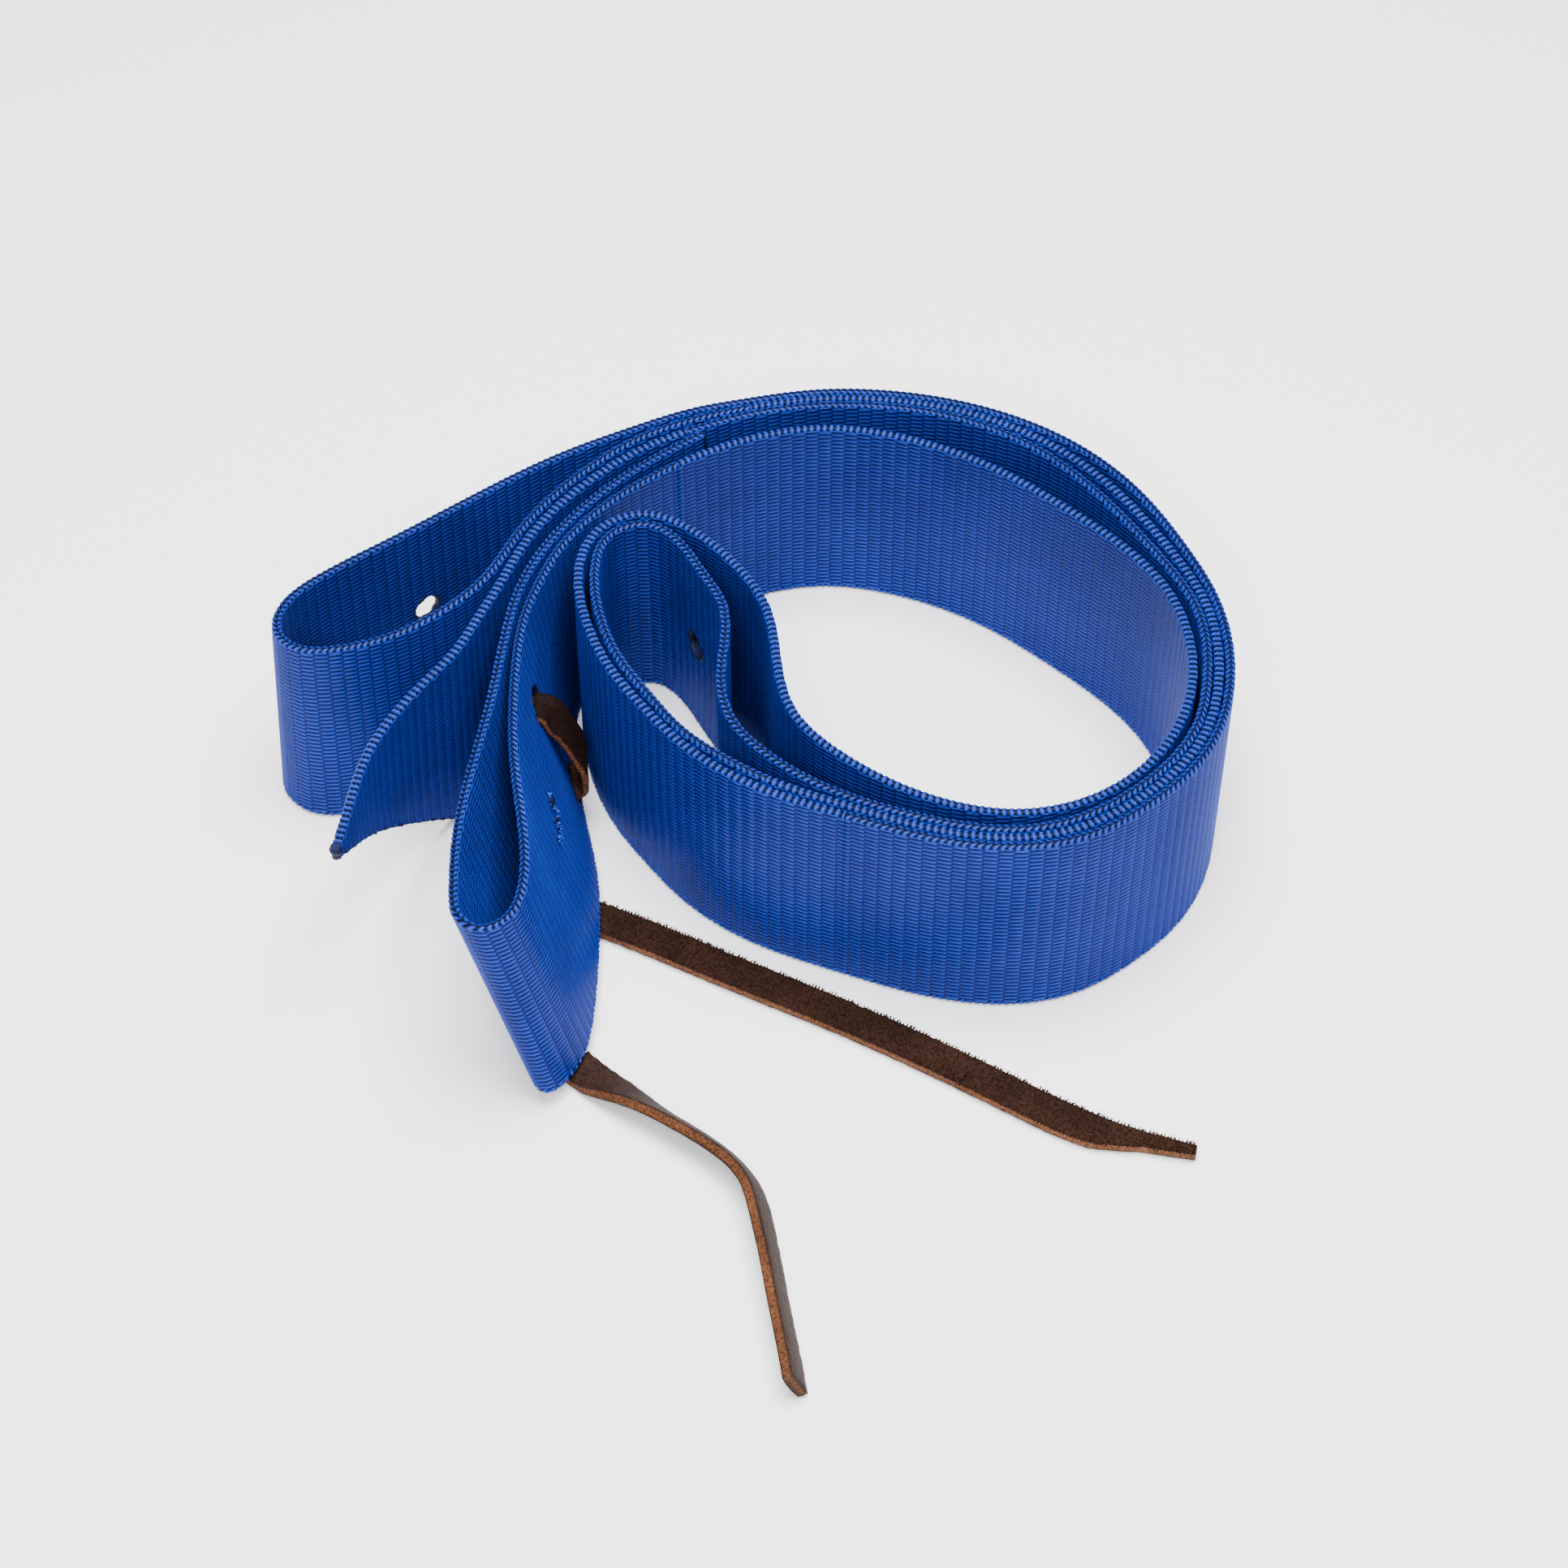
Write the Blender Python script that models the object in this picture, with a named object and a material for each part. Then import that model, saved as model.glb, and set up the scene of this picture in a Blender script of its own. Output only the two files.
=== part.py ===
"""Webbing tie strap with a leather lace, standing on its edge and loosely rolled.

Two real pieces: one long strap of woven nylon webbing, and one leather lace threaded
through two holes of the strap. The strap is doubled, rolled up, and set down on one
selvedge. It is modelled as a wall that follows its route over the ground. The last
stretch of the strap and the lace's two tails can swing, so each is a node of its own.
Units are metres, +Z is up, and the origin is under the middle of the strap.
"""
import bpy
import bmesh
import numpy as np
from mathutils import Vector

MM = 0.001

# Driving dimensions
STRAP_WIDTH = 44.45 * MM
STRAP_THICKNESS = 1.7 * MM
LACE_WIDTH = 7.0 * MM
LACE_THICKNESS = 2.2 * MM
TIED_THICKNESS = 1.7 * MM     # where the strap squeezes the lace
TIP_CUT_LENGTH = 53 * MM      # the pointed end's slanting cut, along the strap
TIP_BLUNT = 3 * MM            # what is left of the width at the very tip
PUNCHED_HOLE = 7.2 * MM       # the burnt holes on the strap's middle line
LACE_HOLE = 10 * MM           # the holes that the lace goes through
TIP_REACH = 120 * MM          # the loose end's hinge lies this close to its point
ROUTE_STEP = 0.5 * MM         # between two points of a smooth route
GAP_POINTS = 1                # points of the route left out where the loose end starts
LONGEST_STEP = 9 * MM         # the most between two cross-sections of the strap
TURN_STEP = np.radians(8)     # the most that the route turns between two of them
PUNCH_SIDES = 12
PUNCH_REACH = 2.6 * STRAP_THICKNESS   # goes through one ply and stays clear of the next
STRAP_ROUGHNESS = 0.6
LACE_ROUGHNESS = 0.8

# The strap's route in mm, from its square end to its point. Each row is where the upper
# selvedge stands, x and y, then how far the lower selvedge stands off it, x and y, then
# how far the lace under the strap lifts it. Rows that stop after y are upright.
NEAR_FOLD = [
    (-16.8, 58.4), (-30.9, 46.6), (-43.4, 31.2, 1), (-48.6, 21.5, 1.8), (-51.9, 12, 2.6),
    (-53.9, 0, 3), (-55.7, -20, 6.6, 0, 0.5), (-58.3, -40, 11.5, -1, 0.9),
    (-59.8, -58, 13, -3, 0.9), (-59.4, -70, 12.8, -5, 1.2), (-57.7, -77, 12.4, -4.5, 1.6),
    (-54, -79.5, 11.2, -2.6, 1.8), (-49.7, -77.4, 10.4, 0.4, 1.8), (-47.2, -71, 10, 1.5, 1.7),
    (-47.1, -61, 10.6, 1, 1.3), (-49.1, -46.5, 12.8, 0, 1), (-50.7, -35, 14, 0, 0.9),
    (-51.6, -22, 13.1, 0, 0.2), (-51.7, -8, 10.4), (-50.8, 3, 8), (-48.2, 13.5, 4.4),
    (-45, 22.5, 1.8), (-39, 32.5, 0.4)]
INNER_LAP = [
    (-23.2, 47.7), (-8, 56.4), (8, 60.2), (24, 57.4), (42.5, 47.8), (57, 35), (67.2, 24),
    (75, 11.5), (78.4, -2), (77.1, -19.5), (70.9, -33.2), (58.7, -45), (43.3, -49.6),
    (25.9, -45.4), (10.9, -35.1), (2, -24), (-1.4, -9), (-3.8, 6.5), (-11, 20),
    (-20.5, 30), (-28.5, 33.3), (-36.2, 29.6), (-40.5, 19), (-39.1, 4), (-33.1, -12),
    (-26.6, -22.2), (-19.9, -31), (-6.9, -41.9)]
OUTER_RING = [
    (11, -50.2), (22.7, -54.7), (34.4, -57.6), (46, -57.9), (56.3, -55), (67.4, -47.4),
    (75.8, -38.8), (82, -27.8), (85.4, -14.5), (86, -4), (84.4, 9), (79.6, 23.5),
    (71.2, 41), (60.5, 54.2), (48.5, 63), (35, 68.8), (20.2, 71.8), (5.8, 71.8),
    (-8.8, 68.8)]
MIDDLE_RING = [
    (13, -46), (24, -50.4), (34.7, -53.2), (45, -53.6), (54, -51), (64.4, -44.3),
    (72.2, -36.4), (78, -26.6), (81, -14), (81.7, -4), (80.2, 7.5), (75.2, 19.5),
    (66, 36), (56.3, 49.3), (45.5, 58.6), (33.4, 64.6), (19.4, 67.5), (5.8, 67.5),
    (-8.2, 64.4)]
LEFT_LOOP = [
    (-18, 66.2), (-31.3, 59.9), (-44.4, 52.4), (-60.4, 40.4), (-78.9, 25), (-91.5, 14.6),
    (-98, 6, -2.2), (-98.2, -1.5, -2.6, -0.5), (-93.7, -5.9, -1.8, -1.6),
    (-86.6, -6.1, -1, -1.6), (-76.5, -2.6), (-66.6, 4.9), (-58.8, 14.9), (-53.7, 26.6),
    (-46.9, 38.8), (-38.5, 49.2), (-29.5, 57.3), (-18.9, 63)]
CURL = [
    (-0.9, -42.4), (-13, -34.2), (-19.4, -28.1), (-25.6, -19.1), (-31.6, -9), (-36.3, 5),
    (-37.4, 19), (-34, 28), (-27.4, 30.2), (-21.3, 25.4), (-16.1, 15.8), (-12.2, 7.2),
    (-11.5, -3.3), (-12.1, -14.7), (-9.3, -26.5), (-3.8, -33.9), (4.4, -41)]
LOOSE_END = [
    (-18, 60.2), (-29.5, 53.4), (-38.2, 45.2), (-46.7, 34.2), (-52.4, 23), (-56.2, 12),
    (-59.8, 2.5), (-63.5, -6.8, -1), (-69, -15.8, -1.5), (-73.9, -24.5, -1.5),
    (-77.7, -34, -1.5), (-79.8, -45.7, -1.5), (-81.4, -58.5, -1.5)]
TIP_HINGE_Y = 8               # the loose end swings where it passes this y, in mm

# The lace in mm: the middle of its section, then the way in which its width points.
LACE_TIED = [
    (-38.8, -36.6, 1.15, -0.45, -0.89, 0), (-41, -35.2, 1.25, -0.6, -0.8, 0.1),
    (-42.4, -31.5, 2.6, -0.9, -0.3, 0.5), (-43.3, -24, 5, -0.4, 0, 0.9),
    (-44.8, -15.5, 6.4, -0.25, -0.2, 0.9), (-45.6, -10.8, 7, -0.1, -0.7, 0.6),
    (-44.7, -8.6, 7.6, 0, -1, 0.1), (-43.2, -8.2, 8, 0, -1, 0), (-41.7, -8.1, 9, 0, -1, 0),
    (-40.4, -8.1, 11.4, 0, -1, 0), (-39.9, -8.2, 15, 0, -1, 0), (-41, -8.6, 20, 0, -1, 0),
    (-43.2, -9.3, 25.6, 0, -1, 0), (-45.4, -10, 30, 0, -1, 0),
    (-47.3, -10.4, 32, 0, -1, 0), (-48.8, -10.6, 32.5, 0, -1, 0.1),
    (-50.1, -10.9, 32.5, 0, -0.9, 0.45), (-50.9, -13.2, 31.9, -0.2, -0.35, 1),
    (-49.5, -20, 28, -0.29, -0.1, 0.95), (-47.8, -30, 21, -0.27, 0.1, 0.95),
    (-45.4, -42, 13, -0.28, 0.1, 0.95), (-43.5, -54, 6.6, -0.4, 0.1, 0.9),
    (-41.7, -63, 2.8, -0.7, -0.1, 0.6), (-42, -68.2, 1.7, -0.75, -0.6, 0.1),
    (-41.7, -70.7, 1.3, -0.74, -0.65, 0), (-40.7, -72.6, 1.15, -0.72, -0.69, 0)]
LONG_TAIL = [
    (-37.6, -37.2, 1.15, 0.45, 0.89, 0), (-26.2, -43, 1.2, 0.47, 0.88, 0),
    (-10.3, -51.6, 1.2, 0.47, 0.88, 0), (5.2, -59.7, 1.2, 0.48, 0.88, 0),
    (20.5, -68.2, 1.2, 0.5, 0.87, 0), (33, -75.8, 1.2, 0.52, 0.86, 0),
    (45, -83.4, 1.2, 0.5, 0.87, 0), (56.2, -89.8, 1.2, 0.42, 0.9, 0),
    (66, -93, 1.2, 0.28, 0.96, 0), (75.6, -95.2, 1.2, 0.22, 0.98, 0)]
SHORT_TAIL = [
    (-39.4, -74.2, 1.15, 0.72, 0.69, 0), (-36.4, -77.3, 1.15, 0.7, 0.7, 0),
    (-33.4, -79.9, 1.8, 0.65, 0.7, -0.25), (-29.4, -83, 2.8, 0.52, 0.66, -0.53),
    (-24.4, -86.8, 3.3, 0.42, 0.52, -0.74), (-17.4, -92, 3.6, 0.4, 0.43, -0.81),
    (-11, -97.4, 3.7, 0.39, 0.36, -0.85), (-6.4, -103.6, 3.8, 0.42, 0.2, -0.88),
    (-4, -112, 3.8, 0.43, 0.1, -0.9), (-2.2, -122, 3.8, 0.4, 0.07, -0.91),
    (-0.6, -132, 3.8, 0.4, 0.06, -0.91), (0.8, -140, 3.8, 0.4, 0.06, -0.91),
    (1.9, -147.2, 3.8, 0.4, 0.06, -0.91)]
LACE_STEP = 3 * MM            # between two cross-sections of the lace

# Holes of the strap: where a horizontal punch meets it, x, y and z, and the punch's
# direction over the ground, in degrees from +X.
PUNCHED = [(-73.4, 29.3, 22.2, 128), (-17.2, 17.8, 22.2, 31)]
LACED = [(-43.2, -8.2, 8, 0), (-48.8, -10.6, 32.4, 0)]


def full(rows, columns):
    """Rows with zeros for the values that they leave out."""
    return np.array([tuple(r) + (0,) * (columns - len(r)) for r in rows], float)


def smooth(rows, step):
    """Points along a smooth curve through the rows, about step apart."""
    at = np.r_[0, np.cumsum(np.linalg.norm(np.diff(rows[:, :3], axis=0), axis=1))]
    gap = np.diff(at)
    count = len(rows)
    pull = np.eye(count)
    load = np.zeros_like(rows)
    for i in range(1, count - 1):
        pull[i, i - 1:i + 2] = gap[i - 1], 2 * (gap[i - 1] + gap[i]), gap[i]
        ahead = (rows[i + 1] - rows[i]) / gap[i]
        behind = (rows[i] - rows[i - 1]) / gap[i - 1]
        load[i] = 6 * (ahead - behind)
    bend = np.linalg.solve(pull, load)
    where = np.linspace(0, at[-1], int(at[-1] / step) + 2)
    i = np.clip(np.searchsorted(at, where, side="right") - 1, 0, count - 2)
    h = gap[i][:, None]
    a = (at[i + 1] - where)[:, None]
    b = (where - at[i])[:, None]
    return ((bend[i] * a**3 + bend[i + 1] * b**3) / (6 * h)
            + (rows[i] / h - bend[i] * h / 6) * a
            + (rows[i + 1] / h - bend[i + 1] * h / 6) * b)


def strap_route():
    """The whole route, in metres: upper selvedge, offset of the lower one, and lift."""
    middle = full(MIDDLE_RING, 5)
    outer = full(OUTER_RING, 5)
    between = (middle + outer)[::-1] / 2
    rows = np.vstack([full(NEAR_FOLD, 5), full(INNER_LAP, 5), outer, full(LEFT_LOOP, 5),
                      between, full(CURL, 5), middle, full(LOOSE_END, 5)])
    return smooth(rows * MM, ROUTE_STEP)


def edges_of(route):
    """The upper and the lower selvedge in space. The strap keeps its width as it leans."""
    offset = route[:, 2:4]
    drop = np.sqrt(STRAP_WIDTH**2 - (offset**2).sum(axis=1))
    lift = np.maximum(route[:, 4], 0)
    upper = np.c_[route[:, :2], np.full(len(route), STRAP_WIDTH) + lift]
    lower = np.c_[route[:, :2] + offset, STRAP_WIDTH - drop + lift]
    return upper, lower


def direction(points):
    """Unit tangents of a line of points."""
    t = np.gradient(points, axis=0)
    return t / np.linalg.norm(t, axis=1)[:, None]


def stations(line, longest, turn):
    """Indices of the points to keep: close where the line bends, far apart where not."""
    t = direction(line)
    keep = [0]
    for i in range(1, len(line) - 1):
        far = np.linalg.norm(line[i] - line[keep[-1]]) >= longest
        bent = np.dot(t[i], t[keep[-1]]) < np.cos(turn)
        if far or bent:
            keep.append(i)
    if np.linalg.norm(line[-1] - line[keep[-1]]) < longest / 4:
        keep.pop()
    return keep + [len(line) - 1]


def wall(name, upper, lower, thickness, colour, roughness):
    """A closed ribbon between two edge lines, thickness thick."""
    t = direction((upper + lower) / 2)
    across = upper - lower
    normal = np.cross(t, across)
    normal *= (thickness / 2) / np.linalg.norm(normal, axis=1)[:, None]
    rings = np.stack([upper + normal, lower + normal, lower - normal, upper - normal], 1)
    return ribbon(name, rings, colour, roughness)


def ribbon(name, rings, colour, roughness):
    """A closed solid through four-cornered rings, as an object with its material."""
    bm = bmesh.new()
    verts = [[bm.verts.new(p) for p in ring] for ring in rings]
    for a, b in zip(verts, verts[1:]):
        for k in range(4):
            n = (k + 1) % 4
            bm.faces.new((a[k], a[n], b[n], b[k]))
    bm.faces.new(verts[0][::-1])
    bm.faces.new(verts[-1])
    bmesh.ops.triangulate(bm, faces=bm.faces[:])
    bmesh.ops.recalc_face_normals(bm, faces=bm.faces[:])
    mesh = bpy.data.meshes.new(name)
    bm.to_mesh(mesh)
    bm.free()
    piece = bpy.data.objects.new(name, mesh)
    bpy.context.scene.collection.objects.link(piece)
    mesh.materials.append(material(name, colour, roughness))
    return piece


def material(name, colour, roughness):
    made = bpy.data.materials.new(name)
    made.use_nodes = True
    shader = made.node_tree.nodes["Principled BSDF"]
    shader.inputs["Base Color"].default_value = (*colour, 1)
    shader.inputs["Roughness"].default_value = roughness
    shader.inputs["Metallic"].default_value = 0
    return made


def punch(piece, place, diameter, angle):
    """A round hole through one ply, made by a short cylinder that lies level."""
    bm = bmesh.new()
    bmesh.ops.create_cone(bm, cap_ends=True, segments=PUNCH_SIDES, radius1=diameter / 2,
                          radius2=diameter / 2, depth=PUNCH_REACH)
    mesh = bpy.data.meshes.new("punch")
    bm.to_mesh(mesh)
    bm.free()
    cutter = bpy.data.objects.new("punch", mesh)
    bpy.context.scene.collection.objects.link(cutter)
    facing = Vector((np.cos(np.radians(angle)), np.sin(np.radians(angle)), 0))
    cutter.rotation_mode = "QUATERNION"
    cutter.rotation_quaternion = facing.to_track_quat("Z", "Y")
    cutter.location = place
    cutter.hide_render = True
    cutter.display_type = "WIRE"
    cut = piece.modifiers.new("punch", "BOOLEAN")
    cut.operation = "DIFFERENCE"
    cut.solver = "EXACT"
    cut.object = cutter


def lace(name, rows, thickness, middle, colour):
    """A flat leather lace through the rows, each with the way in which its width points."""
    line = smooth(np.array(rows) * ([MM] * 3 + [1] * 3), LACE_STEP)
    centre = line[:, :3]
    t = direction(centre)
    across = line[:, 3:] - (line[:, 3:] * t).sum(axis=1)[:, None] * t
    across /= np.linalg.norm(across, axis=1)[:, None]
    face = np.cross(t, across) * thickness / 2
    across = across * LACE_WIDTH / 2
    centre = centre - middle
    rings = np.stack([centre + across + face, centre - across + face,
                      centre - across - face, centre + across - face], 1)
    return ribbon(name, rings, colour, LACE_ROUGHNESS)


for old in list(bpy.data.objects):
    bpy.data.objects.remove(old, do_unlink=True)

BLUE = (0.015, 0.07, 0.32)
BROWN = (0.045, 0.02, 0.015)

route = strap_route()
upper, lower = edges_of(route)
corners = np.vstack([upper, lower])
middle = np.append((corners.max(axis=0) + corners.min(axis=0))[:2] / 2, 0)
upper, lower = upper - middle, lower - middle

# The pointed end: its lower edge climbs to the upper one over the cut's length.
left = np.r_[0, np.cumsum(np.linalg.norm(np.diff(upper, axis=0), axis=1))]
left = left[-1] - left
climb = np.clip(1 - left / TIP_CUT_LENGTH, 0, 1) * (1 - TIP_BLUNT / STRAP_WIDTH)
cut_lower = lower + (upper - lower) * climb[:, None]

hinge_y = TIP_HINGE_Y * MM - middle[1]
hinge = np.flatnonzero((left < TIP_REACH) & (upper[:, 1] < hinge_y))[0]
spans = {"webbing_strap": slice(0, hinge), "strap_tip": slice(hinge + GAP_POINTS, None)}
pieces = {}
for name, span in spans.items():
    keep = stations(upper[span], LONGEST_STEP, TURN_STEP)
    pieces[name] = wall(name, upper[span][keep], cut_lower[span][keep], STRAP_THICKNESS,
                        BLUE, STRAP_ROUGHNESS)

for x, y, z, angle in PUNCHED:
    punch(pieces["webbing_strap"], np.array((x, y, z)) * MM - middle, PUNCHED_HOLE, angle)
for x, y, z, angle in LACED:
    punch(pieces["webbing_strap"], np.array((x, y, z)) * MM - middle, LACE_HOLE, angle)

lace("lace_tied", LACE_TIED, TIED_THICKNESS, middle, BROWN)
lace("lace_long_tail", LONG_TAIL, LACE_THICKNESS, middle, BROWN)
lace("lace_short_tail", SHORT_TAIL, LACE_THICKNESS, middle, BROWN)
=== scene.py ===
import math

import bmesh
import bpy
import numpy as np
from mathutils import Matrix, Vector, noise


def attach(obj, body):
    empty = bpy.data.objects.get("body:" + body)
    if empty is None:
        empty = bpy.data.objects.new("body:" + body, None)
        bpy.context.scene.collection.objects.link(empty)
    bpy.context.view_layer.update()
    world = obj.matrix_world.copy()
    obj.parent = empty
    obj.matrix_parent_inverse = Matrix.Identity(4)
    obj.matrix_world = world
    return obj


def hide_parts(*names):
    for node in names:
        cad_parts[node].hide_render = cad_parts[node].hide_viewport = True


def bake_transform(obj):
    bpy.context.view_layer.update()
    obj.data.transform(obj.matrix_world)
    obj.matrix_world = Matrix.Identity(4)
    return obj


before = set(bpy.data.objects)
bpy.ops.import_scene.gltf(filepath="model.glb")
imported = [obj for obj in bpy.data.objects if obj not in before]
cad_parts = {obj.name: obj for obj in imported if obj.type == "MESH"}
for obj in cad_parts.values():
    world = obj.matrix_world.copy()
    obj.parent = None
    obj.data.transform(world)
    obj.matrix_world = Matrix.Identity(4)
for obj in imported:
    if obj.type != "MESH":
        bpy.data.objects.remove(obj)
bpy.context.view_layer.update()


# ---- Camera -------------------------------------------------------------------------
# A short telephoto, looking down on the rolled strap from the front at 46 degrees.
camera = bpy.data.objects.new("camera", bpy.data.cameras.new("camera"))
bpy.context.scene.collection.objects.link(camera)
camera.location = (0.00771, -0.4490, 0.4703)
camera.rotation_euler = (math.radians(44), 0, 0)
camera.data.sensor_width = 36
camera.data.lens = 73.49
camera.data.clip_start = 0.01
bpy.context.scene.camera = camera


# ---- Leather lace, where it is tied -------------------------------------------------
# One narrow strip of oiled brown leather. It comes in under the near fold, goes through
# a hole low in the strap, up behind it, back through a second hole near the top, and
# down in an arch inside the fold. Cut by hand, so its edges are rough and paler.
MM = 0.001
LACE_WIDTH = 7.0 * MM
TIED_THICKNESS = 1.7 * MM
LACE_RING_STEP = 0.7 * MM
LACE_LOWEST = 0.05 * MM       # how close to the surface the lace may come
CUT_WANDER = 0.055            # how far a cut edge wanders, as a share of the half width
FACE_UNEVEN = 0.09 * MM
EDGE_THINNING = 0.22          # how much thinner the lace is at its edges
# Rows: the lace's middle, x, y and z, then the way that its width runs there.
lace_tied = [
    (-0.03109, -0.03144, 0.00115, -0.45, -0.89, 0),
    (-0.03329, -0.03004, 0.00125, -0.6, -0.8, 0.1),
    (-0.03469, -0.02634, 0.0026, -0.9, -0.3, 0.5), (-0.03559, -0.01884, 0.005, -0.4, 0, 0.9),
    (-0.03709, -0.01034, 0.0064, -0.25, -0.2, 0.9),
    (-0.03789, -0.00564, 0.007, -0.1, -0.7, 0.6), (-0.03699, -0.00344, 0.0076, 0, -1, 0.1),
    (-0.03549, -0.00304, 0.008, 0, -1, 0), (-0.03399, -0.00294, 0.009, 0, -1, 0),
    (-0.03269, -0.00294, 0.0114, 0, -1, 0), (-0.03219, -0.00304, 0.015, 0, -1, 0),
    (-0.03329, -0.00344, 0.02, 0, -1, 0), (-0.03549, -0.00414, 0.0256, 0, -1, 0),
    (-0.03769, -0.00484, 0.03, 0, -1, 0), (-0.03959, -0.00524, 0.032, 0, -1, 0),
    (-0.04109, -0.00544, 0.0325, 0, -1, 0.1), (-0.04239, -0.00574, 0.0325, 0, -0.9, 0.45),
    (-0.04319, -0.00804, 0.0319, -0.2, -0.35, 1),
    (-0.04179, -0.01484, 0.028, -0.29, -0.1, 0.95),
    (-0.04009, -0.02484, 0.021, -0.27, 0.1, 0.95),
    (-0.03769, -0.03684, 0.013, -0.28, 0.1, 0.95),
    (-0.03579, -0.04884, 0.0066, -0.4, 0.1, 0.9),
    (-0.03399, -0.05784, 0.0028, -0.7, -0.1, 0.6),
    (-0.03429, -0.06304, 0.0017, -0.75, -0.6, 0.1),
    (-0.03399, -0.06554, 0.0013, -0.74, -0.65, 0),
    (-0.03299, -0.06744, 0.00115, -0.72, -0.69, 0)]


def smooth(rows, step):
    """Points along a natural spline through the rows, about step apart."""
    rows = np.array(rows, float)
    at = np.r_[0, np.cumsum(np.linalg.norm(np.diff(rows[:, :3], axis=0), axis=1))]
    gap = np.diff(at)
    count = len(rows)
    pull = np.eye(count)
    load = np.zeros_like(rows)
    for i in range(1, count - 1):
        pull[i, i - 1:i + 2] = gap[i - 1], 2 * (gap[i - 1] + gap[i]), gap[i]
        ahead = (rows[i + 1] - rows[i]) / gap[i]
        behind = (rows[i] - rows[i - 1]) / gap[i - 1]
        load[i] = 6 * (ahead - behind)
    bend = np.linalg.solve(pull, load)
    where = np.linspace(0, at[-1], int(at[-1] / step) + 2)
    i = np.clip(np.searchsorted(at, where, side="right") - 1, 0, count - 2)
    h = gap[i][:, None]
    a = (at[i + 1] - where)[:, None]
    b = (where - at[i])[:, None]
    return ((bend[i] * a**3 + bend[i + 1] * b**3) / (6 * h)
            + (rows[i] / h - bend[i] * h / 6) * a
            + (rows[i + 1] / h - bend[i + 1] * h / 6) * b)


def tangents(points):
    """The way a line runs at each of its points."""
    t = np.gradient(points, axis=0)
    return t / np.linalg.norm(t, axis=1)[:, None]


def arc_length(points):
    """The length along a line up to each of its points."""
    return np.r_[0, np.cumsum(np.linalg.norm(np.diff(points, axis=0), axis=1))]


def loft(rings, closed_ends=True):
    """Vertices and faces of a skin over rings of equal count, each ring a closed loop."""
    stations, around = rings.shape[:2]
    index = np.arange(stations * around).reshape(stations, around)
    turned = np.roll(index, -1, axis=1)
    quads = np.stack([index[:-1], index[1:], turned[1:], turned[:-1]], 2).reshape(-1, 4)
    ends = [index[0].tolist(), index[-1][::-1].tolist()] if closed_ends else []
    return rings.reshape(-1, 3), quads, ends


def skin(name, parts, attributes, materials):
    """One mesh object from several lofts, with point attributes and a slot per loft."""
    points, quads, ends, slots, base = [], [], [], [], 0
    for slot, (verts, faces, caps) in enumerate(parts):
        points.append(verts)
        quads.append(faces + base)
        ends += [([i + base for i in cap], slot) for cap in caps]
        slots.append(np.full(len(faces), slot))
        base += len(verts)
    points, quads, slots = np.vstack(points), np.vstack(quads), np.hstack(slots)
    corners = np.hstack([quads.ravel(), *[cap for cap, _ in ends]]).astype(np.int32)
    sizes = np.r_[np.full(len(quads), 4), [len(cap) for cap, _ in ends]].astype(np.int32)
    mesh = bpy.data.meshes.new(name)
    mesh.vertices.add(len(points))
    mesh.vertices.foreach_set("co", points.astype(np.float32).ravel())
    mesh.loops.add(len(corners))
    mesh.loops.foreach_set("vertex_index", corners)
    mesh.polygons.add(len(sizes))
    starts = np.r_[0, np.cumsum(sizes)[:-1]].astype(np.int32)
    mesh.polygons.foreach_set("loop_start", starts)
    mesh.polygons.foreach_set("loop_total", sizes)
    slot_of = np.r_[slots, [slot for _, slot in ends]].astype(np.int32)
    for made in materials:
        mesh.materials.append(made)
    mesh.polygons.foreach_set("material_index", np.minimum(slot_of, len(materials) - 1))
    mesh.update(calc_edges=True)
    for key, values in attributes.items():
        layer = mesh.attributes.new(key, "FLOAT", "POINT")
        layer.data.foreach_set("value", values.astype(np.float32))
    mesh.polygons.foreach_set("use_smooth", np.arange(len(sizes)) < len(quads))
    mesh.validate()
    piece = bpy.data.objects.new(name, mesh)
    bpy.context.scene.collection.objects.link(piece)
    return piece


def face_out(piece):
    """Turns a closed shell's faces outward."""
    shell = bmesh.new()
    shell.from_mesh(piece.data)
    bmesh.ops.recalc_face_normals(shell, faces=shell.faces[:])
    shell.to_mesh(piece.data)
    shell.free()


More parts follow.
